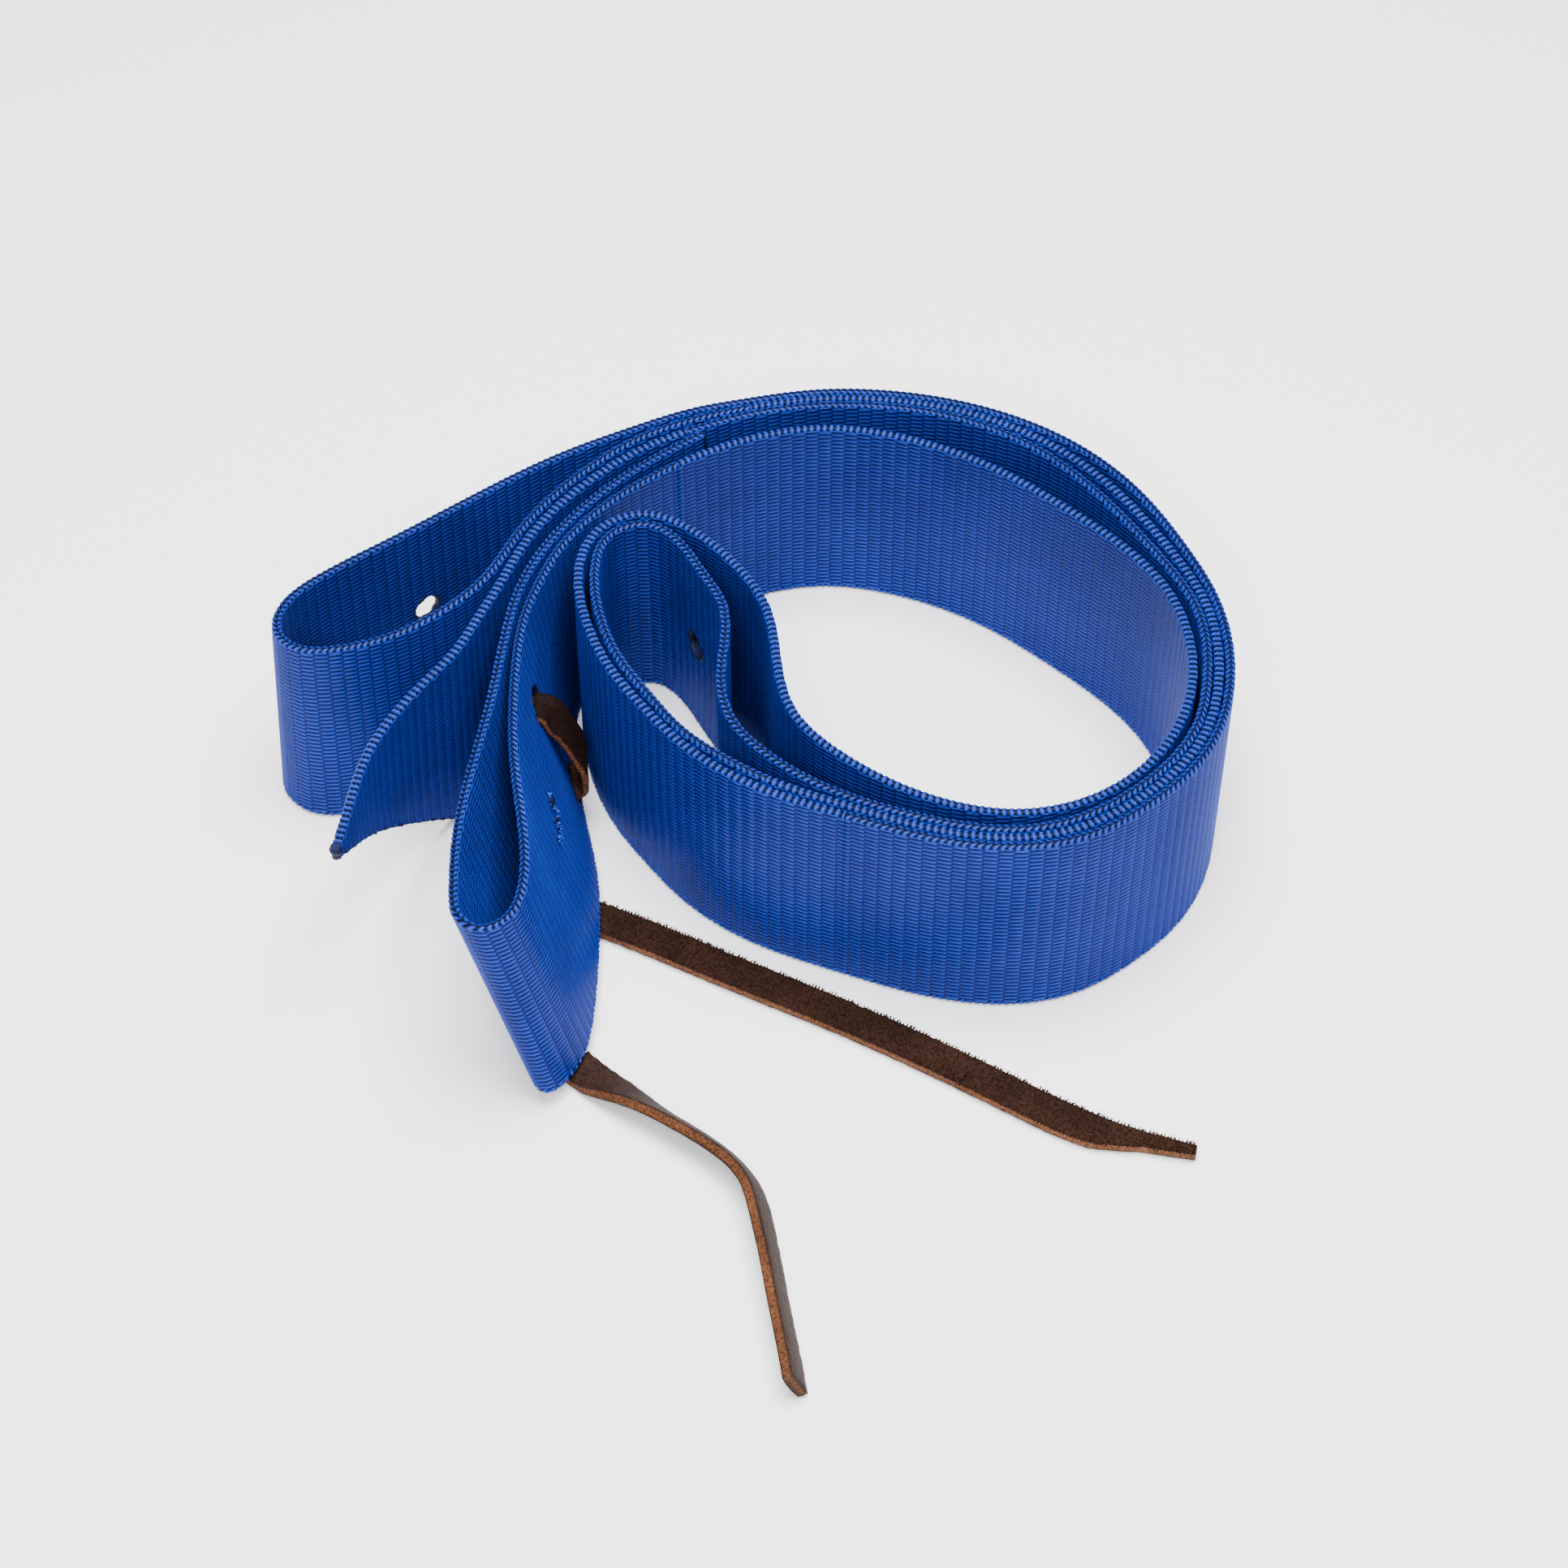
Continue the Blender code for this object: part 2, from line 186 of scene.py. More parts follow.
def leather_strip(name, rows, thickness, half_widths, material):
    """A lace through the rows: worn face, flesh side and two rough cut edges."""
    line = smooth(rows, LACE_RING_STEP)
    centre = line[:, :3]
    t = tangents(centre)
    across = line[:, 3:] - (line[:, 3:] * t).sum(axis=1)[:, None] * t
    across /= np.linalg.norm(across, axis=1)[:, None]
    face = np.cross(t, across)
    face *= np.where(face[:, 2].mean() < 0, -1, 1)
    at = arc_length(centre)
    plus, minus = half_widths(at[-1] - at)
    # One ring: along the top face, round the cut edge, along the bottom, and back.
    flat = np.linspace(-1, 1, 11)
    sides = np.linspace(-0.6, 0.6, 5)
    ring = ([(u, 1, 0) for u in flat] + [(1.0, -v, 1) for v in sides]
            + [(u, -1, 0) for u in flat[::-1]] + [(-1.0, v, 1) for v in sides])
    wide_share = np.array([u for u, _, _ in ring])
    deep_share = np.array([v for _, v, _ in ring])
    crown = 1 - EDGE_THINNING * np.abs(wide_share)**3
    rings = []
    for i, here in enumerate(centre):      # its roughness comes in lumps about 2 mm long
        half_width = np.where(wide_share > 0, plus[i], minus[i])
        rough = np.array([noise.fractal(Vector((at[i] / MM * 0.55, u * 3.1, v * 2 + 9)),
                                        1.0, 2.0, 4) for u, v, _ in ring])
        wander = 1 + CUT_WANDER * rough * np.abs(wide_share)
        depth = deep_share * thickness / 2 * crown + FACE_UNEVEN * rough
        rings.append(here + across[i] * (wide_share * half_width * wander)[:, None]
                     + face[i] * depth[:, None])
    rings = np.array(rings)
    rings[:, :, 2] = np.maximum(rings[:, :, 2], LACE_LOWEST)
    cut_edge = np.tile([cut for _, _, cut in ring], len(rings))
    upper_side = np.tile(deep_share > 0, len(rings))
    made = skin(name, [loft(rings)], {"cut_edge": cut_edge, "upper": upper_side},
                [material])
    face_out(made)
    return made, centre


def srgb(code):
    """A hex colour as the linear RGBA that shaders take."""
    parts = [int(code[i:i + 2], 16) / 255 for i in (1, 3, 5)]
    return [p / 12.92 if p <= 0.04045 else ((p + 0.055) / 1.055)**2.4 for p in parts] + [1]


def set_inputs(node, **inputs):
    """Sets inputs, by name or by number (_0), to values or to other nodes' sockets."""
    for key, value in inputs.items():
        slot = node.inputs[int(key[1:]) if key[0] == "_" else key.replace("_", " ")]
        if isinstance(value, bpy.types.NodeSocket):
            node.id_data.links.new(value, slot)
        else:
            slot.default_value = value


def add(tree, kind, settings=(), **inputs):
    """Adds one node: settings are its properties, inputs are values or sockets."""
    node = tree.nodes.new(kind)
    for key, value in dict(settings).items():
        setattr(node, key, value)
    set_inputs(node, **inputs)
    return node


def new_material(name):
    """A material, its node tree and its main shader."""
    made = bpy.data.materials.new(name)
    made.use_nodes = True
    tree = made.node_tree
    return made, tree, tree.nodes["Principled BSDF"]


def oiled_leather(name, top, under, edge, roughness):
    """Oiled latigo leather: napped or smooth faces, and paler raw fibres where it was cut."""
    made, tree, shader = new_material(name)
    place = add(tree, "ShaderNodeTexCoord").outputs["Object"]
    is_edge = add(tree, "ShaderNodeAttribute", {"attribute_name": "cut_edge"})
    is_top = add(tree, "ShaderNodeAttribute", {"attribute_name": "upper"})
    # Nap and pores about 0.5 mm across, and stains about 8 mm across
    nap = add(tree, "ShaderNodeTexNoise", Vector=place, Scale=2000.0, Detail=5.0)
    stain = add(tree, "ShaderNodeTexNoise", Vector=place, Scale=125.0, Detail=3.0)
    face = add(tree, "ShaderNodeMix", {"data_type": "RGBA"}, _0=is_top.outputs["Fac"],
               _6=srgb(under), _7=srgb(top))
    cut = add(tree, "ShaderNodeMix", {"data_type": "RGBA"}, _0=is_edge.outputs["Fac"],
              _6=face.outputs[2], _7=srgb(edge))
    light = add(tree, "ShaderNodeMapRange", Value=nap.outputs["Fac"], From_Min=0.35,
                From_Max=0.65, To_Min=0.5, To_Max=1.7)
    patch = add(tree, "ShaderNodeMapRange", Value=stain.outputs["Fac"], From_Min=0.35,
                From_Max=0.65, To_Min=0.8, To_Max=1.2)
    both = add(tree, "ShaderNodeMath", {"operation": "MULTIPLY"},
               _0=light.outputs[0], _1=patch.outputs[0])
    shade = add(tree, "ShaderNodeVectorMath", {"operation": "SCALE"},
                _0=cut.outputs[2], Scale=both.outputs[0])
    bump = add(tree, "ShaderNodeBump", Strength=0.7, Distance=0.00025,
               Height=nap.outputs["Fac"])
    set_inputs(shader, Base_Color=shade.outputs[0], Normal=bump.outputs[0],
               Roughness=roughness, Specular_IOR_Level=0.07, Sheen_Weight=0.02,
               Sheen_Roughness=0.6, Sheen_Tint=srgb("#9c6f58"))
    return made


def full_width(left):
    """Half widths of a lace that is cut straight all the way."""
    half = np.full(len(left), LACE_WIDTH / 2)
    return half, half


tied_leather = oiled_leather("oiled_leather_tied", "#33201a", "#120906", "#583622", 0.6)
CLIMB_ROWS = range(8, 14)     # behind the strap, where the lace slants as it climbs
CLIMB_WIDTH_WAY = (0.05, -0.8, -0.6)
bowed = [(*row[:3], *CLIMB_WIDTH_WAY) if i in CLIMB_ROWS else row
         for i, row in enumerate(lace_tied)]
tied, tied_path = leather_strip("lace_through_holes", bowed, TIED_THICKNESS,
                                full_width, tied_leather)
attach(tied, "roll")
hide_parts("lace_tied")


# ---- Lace, long tail ----------------------------------------------------------------
# The longer free end lies flat with its napped flesh side up, dark brown, and the raw
# edge facing forward is paler. Its last 20 mm is cut to a taper with a blunt tip.
TAIL_THICKNESS = 2.3 * MM
FIBRES = 3200
FIBRE_HALF = 0.14 * MM
FIBRE_LENGTHS = (0.5 * MM, 1.2 * MM)
FIBRES_AT_EDGES = 0.45        # as a share of them all
ROOTS_REACH = 0.97            # how far out they are rooted, as a share of the half width
long_tail = [
    (-0.02989, -0.03204, 0.00115, 0.45, 0.89, 0), (-0.01849, -0.03784, 0.0012, 0.47, 0.88, 0),
    (-0.00259, -0.04644, 0.0012, 0.47, 0.88, 0), (0.01291, -0.05454, 0.0012, 0.48, 0.88, 0),
    (0.02821, -0.06304, 0.0012, 0.5, 0.87, 0), (0.04071, -0.07064, 0.0012, 0.52, 0.86, 0),
    (0.05271, -0.07824, 0.0012, 0.5, 0.87, 0), (0.06391, -0.08464, 0.0012, 0.42, 0.9, 0),
    (0.07371, -0.08784, 0.0012, 0.28, 0.96, 0), (0.08331, -0.09004, 0.0012, 0.22, 0.98, 0)]


def tapered(left):
    """Half widths on the two sides, from the distance left to the tip."""
    back = np.interp(left / MM, [0, 10, 20, 24], [1.15, 2.2, 3.3, 3.5])
    front = np.interp(left / MM, [0, 10, 19, 24], [1.05, 1.4, 3.4, 3.5])
    return back * MM, front * MM


napped = oiled_leather("oiled_leather_napped", "#20120c", "#180d09", "#5c3c2a", 0.92)
long_lace, long_path = leather_strip("lace_long_free_end", long_tail, TAIL_THICKNESS,
                                     tapered, napped)
chance = np.random.default_rng(3)
t = tangents(long_path)
across = np.cross((0, 0, 1), t)
back, front = tapered(arc_length(long_path)[-1] - arc_length(long_path))
fibres = []
for _ in range(FIBRES):
    i = chance.integers(1, len(long_path) - 1)
    at_edge = chance.random() < FIBRES_AT_EDGES
    side = chance.choice([-1, 1]) if at_edge else chance.uniform(-1, 1)
    reach = (back if side * across[i][1] > 0 else front)[i]
    # Roots lie just under the top face, which falls off towards the edges
    depth = (0.46 - 0.12 * abs(side)**3) * TAIL_THICKNESS
    root = long_path[i] + across[i] * side * reach * ROOTS_REACH + (0, 0, depth)
    lean = Vector(chance.normal(0, 1, 3)) * 0.6 + Vector(across[i] * side) * 0.9
    lean.z = abs(lean.z) + 0.25
    lean = np.array(lean.normalized()) * chance.uniform(*FIBRE_LENGTHS)
    thick = np.cross(lean, (0.3, 0.5, 1))
    thick *= FIBRE_HALF / np.linalg.norm(thick)
    other = np.cross(lean, thick)
    other *= FIBRE_HALF / np.linalg.norm(other)
    foot = np.array([root + thick, root + other, root - thick - other])
    fibres.append(loft(np.array([foot, foot * 0.25 + (root + lean) * 0.75])))
fibre_leather = oiled_leather("leather_nap_fibres", "#2e1c13", "#2e1c13", "#2e1c13", 0.95)
nap_fibres = skin("lace_long_nap", fibres, {}, [fibre_leather])
face_out(nap_fibres)
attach(nap_fibres, "long_tail")
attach(long_lace, "long_tail")
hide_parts("lace_long_tail")


# ---- Lace, short tail ---------------------------------------------------------------
# The shorter free end starts flat and rolls onto its edge, so the smooth dark grain
# side faces right and the raw reddish-brown edge shows on the left.
short_tail = [
    (-0.03169, -0.06904, 0.00115, 0.72, 0.69, 0), (-0.02869, -0.07214, 0.00115, 0.7, 0.7, 0),
    (-0.02569, -0.07474, 0.0018, 0.65, 0.7, -0.25),
    (-0.02169, -0.07784, 0.0028, 0.52, 0.66, -0.53),
    (-0.01669, -0.08164, 0.0033, 0.42, 0.52, -0.74),
    (-0.00969, -0.08684, 0.0036, 0.4, 0.43, -0.81),
    (-0.00329, -0.09224, 0.0037, 0.39, 0.36, -0.85),
    (0.00131, -0.09844, 0.0038, 0.42, 0.2, -0.88),
    (0.00371, -0.10684, 0.0038, 0.43, 0.1, -0.9),
    (0.00551, -0.11684, 0.0038, 0.4, 0.07, -0.91),
    (0.00711, -0.12684, 0.0038, 0.4, 0.06, -0.91),
    (0.00851, -0.13484, 0.0038, 0.4, 0.06, -0.91),
    (0.00961, -0.14204, 0.0038, 0.4, 0.06, -0.91)]

grained = oiled_leather("oiled_leather_grain", "#221510", "#190f0b", "#4a2c1a", 0.62)
short_lace, short_path = leather_strip("lace_short_free_end", short_tail, TAIL_THICKNESS,
                                       full_width, grained)
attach(short_lace, "short_tail")
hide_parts("lace_short_tail")


# ---- Webbing strap ------------------------------------------------------------------
# One length of royal blue nylon webbing, 1-3/4 in wide and about 2.04 m long, woven in
# columns of short warp floats. It is doubled at the left, rolled four plies deep round
# the right and stood on its selvedge.
STRAP_WIDTH = 44.45 * MM
STRAP_STEP = 0.5 * MM         # between the points that its route is worked out at
COLUMN = 2.77 * MM            # one column of floats, along the strap
FLOAT = 1.0 * MM              # one float and its groove, across the strap
BEAD = COLUMN / 2             # one turn of the selvedge's binding
BEAD_STEPS = 8                # rings along the selvedge, in one column
COLUMN_POINTS = [0, 0.13, 0.5, 0.87]   # where a column's shape is set, as shares of it
FLOAT_RISE = [0, 0.8, 1, 0.8]          # how far its floats stand up there
RIB_RISE = [-1, 0.1, 0.5, 0.9]         # and how far the column as a whole does
FACE_HALF = 0.74 * MM         # from the strap's middle to its woven face
FLOAT_RELIEF = 0.17 * MM
RIB_RELIEF = 0.1 * MM
SELVEDGE_INSET = 0.65 * MM
SELVEDGE_HALF = 0.84 * MM
BEAD_SWELL = 0.17             # as shares of the selvedge's half thickness
SEAM_DEPTH = 0.2
SEAM_SPREAD = 0.4             # radians round the selvedge
CUT_LENGTH = 53 * MM          # the slanted end
TIP_BLUNT = 3 * MM
CUT_SETBACK = 0.4 * MM        # from the slanted cut to the first threads
RIM_GATHER = 0.55             # how far in, as a share of a hole, threads join its rim
BURNT_RADIUS = 3.2 * MM
LACED_RADIUS = 4.3 * MM
LACED_FROM = 0.15             # the near fold's right leg begins about here, in metres
SAME_TURN = 0.12              # of the strap's length, which tells one turn from the next
# Rows: the upper selvedge, x and y, then how far the lower one stands off it, x and y,
# and how far the strap is lifted.
near_fold = [
    (-0.00909, 0.06356), (-0.02319, 0.05176), (-0.03569, 0.03636, 0.001),
    (-0.04089, 0.02666, 0.0018), (-0.04419, 0.01716, 0.0026), (-0.04619, 0.00516, 0.003),
    (-0.04799, -0.01484, 0.0066, 0, 0.0005), (-0.05059, -0.03484, 0.0115, -0.001, 0.0009),
    (-0.05209, -0.05284, 0.013, -0.003, 0.0009), (-0.05169, -0.06484, 0.0128, -0.005, 0.0012),
    (-0.04999, -0.07184, 0.0124, -0.0045, 0.0016),
    (-0.04629, -0.07434, 0.0112, -0.0026, 0.0018),
    (-0.04199, -0.07224, 0.0104, 0.0004, 0.0018), (-0.03949, -0.06584, 0.01, 0.0015, 0.0017),
    (-0.03939, -0.05584, 0.0106, 0.001, 0.0013), (-0.04139, -0.04134, 0.0128, 0, 0.001),
    (-0.04299, -0.02984, 0.014, 0, 0.0009), (-0.04389, -0.01684, 0.0131, 0, 0.0002),
    (-0.04399, -0.00284, 0.0104), (-0.04309, 0.00816, 0.008), (-0.04049, 0.01866, 0.0044),
    (-0.03729, 0.02766, 0.0018), (-0.03129, 0.03766, 0.0004)]
inner_lap = [
    (-0.01549, 0.05286), (-0.00029, 0.06156), (0.01571, 0.06536), (0.03171, 0.06256),
    (0.05021, 0.05296), (0.06471, 0.04016), (0.07491, 0.02916), (0.08271, 0.01666),
    (0.08611, 0.00316), (0.08481, -0.01434), (0.07861, -0.02804), (0.06641, -0.03984),
    (0.05101, -0.04444), (0.03361, -0.04024), (0.01861, -0.02994), (0.00971, -0.01884),
    (0.00631, -0.00384), (0.00391, 0.01166), (-0.00329, 0.02516), (-0.01279, 0.03516),
    (-0.02079, 0.03846), (-0.02849, 0.03476), (-0.03279, 0.02416), (-0.03139, 0.00916),
    (-0.02539, -0.00684), (-0.01889, -0.01704), (-0.01219, -0.02584), (0.00081, -0.03674)]
outer_ring = [
    (0.01871, -0.04504), (0.03041, -0.04954), (0.04211, -0.05244), (0.05371, -0.05274),
    (0.06401, -0.04984), (0.07511, -0.04224), (0.08351, -0.03364), (0.08971, -0.02264),
    (0.09311, -0.00934), (0.09371, 0.00116), (0.09211, 0.01416), (0.08731, 0.02866),
    (0.07891, 0.04616), (0.06821, 0.05936), (0.05621, 0.06816), (0.04271, 0.07396),
    (0.02791, 0.07696), (0.01351, 0.07696), (-0.00109, 0.07396)]
left_loop = [
    (-0.01029, 0.07136), (-0.02359, 0.06506), (-0.03669, 0.05756), (-0.05269, 0.04556),
    (-0.07119, 0.03016), (-0.08379, 0.01976), (-0.09029, 0.01116, -0.0022),
    (-0.09049, 0.00366, -0.0026, -0.0005), (-0.08599, -0.00074, -0.0018, -0.0016),
    (-0.07889, -0.00094, -0.001, -0.0016), (-0.06879, 0.00256), (-0.05889, 0.01006),
    (-0.05109, 0.02006), (-0.04599, 0.03176), (-0.03919, 0.04396), (-0.03079, 0.05436),
    (-0.02179, 0.06246), (-0.01119, 0.06816)]
doubled_ring = [
    (-0.00079, 0.07176), (0.01351, 0.07481), (0.02751, 0.07481), (0.04191, 0.07186),
    (0.05471, 0.06596), (0.06611, 0.05691), (0.07631, 0.04366), (0.08511, 0.02666),
    (0.09001, 0.01341), (0.09156, 0.00116), (0.09091, -0.00909), (0.08771, -0.02204),
    (0.08171, -0.03244), (0.07361, -0.04069), (0.06286, -0.04784), (0.05321, -0.05059),
    (0.04226, -0.05024), (0.03106, -0.04739), (0.01971, -0.04294)]
curl = [
    (0.00681, -0.03724), (-0.00529, -0.02904), (-0.01169, -0.02294), (-0.01789, -0.01394),
    (-0.02389, -0.00384), (-0.02859, 0.01016), (-0.02969, 0.02416), (-0.02629, 0.03316),
    (-0.01969, 0.03536), (-0.01359, 0.03056), (-0.00839, 0.02096), (-0.00449, 0.01236),
    (-0.00379, 0.00186), (-0.00439, -0.00954), (-0.00159, -0.02134), (0.00391, -0.02874),
    (0.01211, -0.03584)]
middle_ring = [
    (0.02071, -0.04084), (0.03171, -0.04524), (0.04241, -0.04804), (0.05271, -0.04844),
    (0.06171, -0.04584), (0.07211, -0.03914), (0.07991, -0.03124), (0.08571, -0.02144),
    (0.08871, -0.00884), (0.08941, 0.00116), (0.08791, 0.01266), (0.08291, 0.02466),
    (0.07371, 0.04116), (0.06401, 0.05446), (0.05321, 0.06376), (0.04111, 0.06976),
    (0.02711, 0.07266), (0.01351, 0.07266), (-0.00049, 0.06956)]
loose_end = [
    (-0.01029, 0.06536), (-0.02179, 0.05856), (-0.03049, 0.05036), (-0.03899, 0.03936),
    (-0.04469, 0.02816), (-0.04849, 0.01716), (-0.05209, 0.00766),
    (-0.05579, -0.00164, -0.001), (-0.06129, -0.01064, -0.0015), (-0.06619, -0.01934, -0.0015),
    (-0.06999, -0.02884, -0.0015), (-0.07209, -0.04054, -0.0015),
    (-0.07369, -0.05334, -0.0015)]


def five(rows):
    """The rows in full, with the offsets that they leave out as noughts."""
    return [tuple(r) + (0,) * (5 - len(r)) for r in rows]


sections = [near_fold, inner_lap, outer_ring, left_loop, doubled_ring, curl, middle_ring,
            loose_end]
laid = smooth([row for rows in sections for row in five(rows)], STRAP_STEP)
drop = np.sqrt(STRAP_WIDTH**2 - (laid[:, 2:4]**2).sum(axis=1))
lift = np.maximum(laid[:, 4], 0)
top_edge = np.c_[laid[:, :2], STRAP_WIDTH + lift]
low_edge = np.c_[laid[:, :2] + laid[:, 2:4], STRAP_WIDTH - drop + lift]
mid_line = (top_edge + low_edge) / 2
along = arc_length(mid_line)
strap_length = along[-1]


def at_length(where, table):
    """Rows of a table along the strap, at the lengths asked for."""
    return np.stack([np.interp(where, along, table[:, k]) for k in range(3)], axis=1)


def strap_frame(where):
    """Middle of the strap, its way up and the way its first face looks, at each length."""
    middle = at_length(where, mid_line)
    up = at_length(where, top_edge) - at_length(where, low_edge)
    up /= np.linalg.norm(up, axis=1)[:, None]
    out = np.cross(at_length(where, tangents(mid_line)), up)
    out /= np.linalg.norm(out, axis=1)[:, None]
    return middle, up, out


def cut_height(where):
    """How high over the strap's middle line its lower edge is, at each length."""
    climb = np.clip(1 - (strap_length - where) / CUT_LENGTH, 0, 1)
    return -STRAP_WIDTH / 2 + climb * (STRAP_WIDTH - TIP_BLUNT)


def woven_faces(where, column):
    """Both woven faces between the selvedges, and their painted shade, 0 to 1."""
    middle, up, out = strap_frame(where)
    reach = STRAP_WIDTH / 2 - SELVEDGE_INSET
    count = int(reach / (FLOAT / 2))
    height = np.arange(-count, count + 1) * FLOAT / 2
    height = np.r_[-reach, height[1:-1], reach]
    across = np.r_[height, height[::-1]]
    side = np.r_[np.ones(len(height)), -np.ones(len(height))]
    real = np.maximum(across[None, :], cut_height(where)[:, None] + CUT_SETBACK)
    share = column % 1
    flip = np.where(np.floor(column) % 2 > 0, -1, 1)
    hatch = (np.interp(share, COLUMN_POINTS + [1], FLOAT_RISE + [0]) * flip)[:, None]
    hatch = hatch * np.cos(2 * np.pi * across / FLOAT)[None, :] * side
    rib = np.interp(share, COLUMN_POINTS + [1], RIB_RISE + [-1])[:, None]
    off = side * (FACE_HALF + FLOAT_RELIEF * hatch + RIB_RELIEF * rib)
    rings = (middle[:, None] + up[:, None] * real[..., None] + out[:, None] * off[..., None])
    # Painted shade and highlight: darker where the weave sinks, lighter where the floats stand
    # up
    relief_shade = np.clip(0.45 + 0.46 * hatch + 0.12 * rib, 0, 1)
    return (rings, relief_shade, np.broadcast_to(column[:, None] * COLUMN, real.shape),
            np.broadcast_to(across, real.shape))


def selvedge(where, column, edge, chevron):
    """The bound edge: a row of beads that wrap round it, slanting if chevron is not 0."""
    middle, up, out = strap_frame(where)
    height = (STRAP_WIDTH / 2 - SELVEDGE_INSET) * edge
    turn = np.radians(np.arange(0, 360, 30))
    slant = (0.15 + 0.85 * chevron) * 0.6 * np.abs(np.sin(turn))
    wave = np.cos(2 * np.pi * (column[:, None] * COLUMN / BEAD + slant))
    from_top = np.minimum(turn, 2 * np.pi - turn)
    seam = np.exp(-(from_top / SEAM_SPREAD)**2) * (0.4 + 0.6 * chevron)
    grow = 1 + BEAD_SWELL * wave - SEAM_DEPTH * seam
    upward = np.cos(turn) * SELVEDGE_INSET * grow * edge
    outward = -edge * np.sin(turn) * SELVEDGE_HALF * grow    # turned so faces look out
    rings = (middle[:, None] + up[:, None] * (height + upward)[..., None]
             + out[:, None] * outward[..., None])
    # Painted shade and highlight: darker in the seam and between beads, lighter on the bead
    # crests
    relief_shade = np.clip(0.48 + 0.48 * wave - 0.5 * seam, 0, 1)
    return (rings, relief_shade, np.broadcast_to(column[:, None] * COLUMN, relief_shade.shape),
            np.broadcast_to(turn * SELVEDGE_HALF, relief_shade.shape))


def punched(rings, where, holes):
    """Quads to drop for the holes, with the points round each moved onto its rim."""
    dropped = []
    for spot, height, radius in holes:
        if not where[0] < spot < where[-1]:
            continue
        middle, up, out = strap_frame(where)
        v = ((rings - middle[:, None]) * up[:, None]).sum(axis=2)
        depth = ((rings - middle[:, None]) * out[:, None]).sum(axis=2)
        du = np.broadcast_to((where - spot)[:, None], v.shape)
        dv = v - height
        far = np.hypot(du, dv)
        inside = far < radius
        gathered = inside & (far > radius * RIM_GATHER)
        grow = np.where(gathered, radius / np.maximum(far, 1e-9), 1)
        new_u, new_v = spot + du * grow, height + dv * grow
        there = strap_frame(np.clip(new_u.ravel(), where[0], where[-1]))
        moved = (there[0] + there[1] * new_v.ravel()[:, None]
                 + there[2] * depth.ravel()[:, None])
        swap = gathered.ravel()
        points = rings.reshape(-1, 3)
        points[swap] = moved[swap]
        rings = points.reshape(rings.shape)
        dropped.append(inside.ravel())
    return rings, dropped


def set_uv(piece, length, across):
    """A UV map in millimetres along and across the strap."""
    mesh = piece.data
    corner = np.zeros(len(mesh.loops), np.int32)
    mesh.loops.foreach_get("vertex_index", corner)
    layer = mesh.uv_layers.new(name="thread_mm")
    layer.data.foreach_set("uv", np.stack([length[corner] / MM, across[corner] / MM],
                                          axis=1).astype(np.float32).ravel())


def woven_nylon(name, groove_shade, mid, float_highlight, roughness):
    """Solution-dyed nylon yarn, woven tight: satin floats with painted shade between them."""
    made, tree, shader = new_material(name)
    place = add(tree, "ShaderNodeTexCoord")
    relief_shade = add(tree, "ShaderNodeAttribute", {"attribute_name": "relief_shade"})
    # Painted shade and highlight: near black in the grooves, lighter blue on the float tops
    ramp = add(tree, "ShaderNodeValToRGB", Fac=relief_shade.outputs["Fac"])
    ramp.color_ramp.elements[0].position = 0.12
    ramp.color_ramp.elements[0].color = srgb(groove_shade)
    ramp.color_ramp.elements[1].position = 0.85
    ramp.color_ramp.elements[1].color = srgb(float_highlight)
    half = ramp.color_ramp.elements.new(0.42)
    half.color = srgb(mid)
    # Filaments run along the strap, 0.2 mm wide here, since real ones are too fine to see
    stretch = add(tree, "ShaderNodeMapping", Vector=place.outputs["UV"],
                  Scale=(0.5, 5.0, 1.0))
    strand = add(tree, "ShaderNodeTexNoise", Vector=stretch.outputs[0], Scale=1.0,
                 Detail=3.0)
    # Handling and dye differences, in patches about 15 mm across
    patch = add(tree, "ShaderNodeTexNoise", Vector=place.outputs["Object"], Scale=65.0,
                Detail=2.0)
    worn = add(tree, "ShaderNodeMapRange", Value=patch.outputs["Fac"], From_Min=0.3,
               From_Max=0.7, To_Min=0.88, To_Max=1.12)
    thin = add(tree, "ShaderNodeMapRange", Value=strand.outputs["Fac"], From_Min=0.3,
               From_Max=0.7, To_Min=0.8, To_Max=1.2)
    both = add(tree, "ShaderNodeMath", {"operation": "MULTIPLY"},
               _0=worn.outputs[0], _1=thin.outputs[0])
    shade = add(tree, "ShaderNodeVectorMath", {"operation": "SCALE"},
                _0=ramp.outputs["Color"], Scale=both.outputs[0])
    bump = add(tree, "ShaderNodeBump", Strength=0.35, Distance=0.0001,
               Height=strand.outputs["Fac"])
    set_inputs(shader, Base_Color=shade.outputs[0], Normal=bump.outputs[0],
               Roughness=roughness, Specular_IOR_Level=0.06, Sheen_Weight=0.012,
               Sheen_Roughness=0.4, Sheen_Tint=srgb("#3d63ff"))
    return made


def melted_nylon(name, colour):
    """Nylon that a hot knife melted: it sets hard, lumpy and nearly black."""
    made, tree, shader = new_material(name)
    place = add(tree, "ShaderNodeTexCoord").outputs["Object"]
    lumps = add(tree, "ShaderNodeTexNoise", Vector=place, Scale=1400.0, Detail=4.0)
    tone = add(tree, "ShaderNodeMapRange", Value=lumps.outputs["Fac"], From_Min=0.3,
               From_Max=0.7, To_Min=0.5, To_Max=1.8)
    shade = add(tree, "ShaderNodeVectorMath", {"operation": "SCALE"}, _0=srgb(colour)[:3],
                Scale=tone.outputs[0])
    bump = add(tree, "ShaderNodeBump", Strength=0.8, Distance=0.0003,
               Height=lumps.outputs["Fac"])
    set_inputs(shader, Base_Color=shade.outputs[0], Normal=bump.outputs[0],
               Roughness=0.5, Specular_IOR_Level=0.12)
    return made


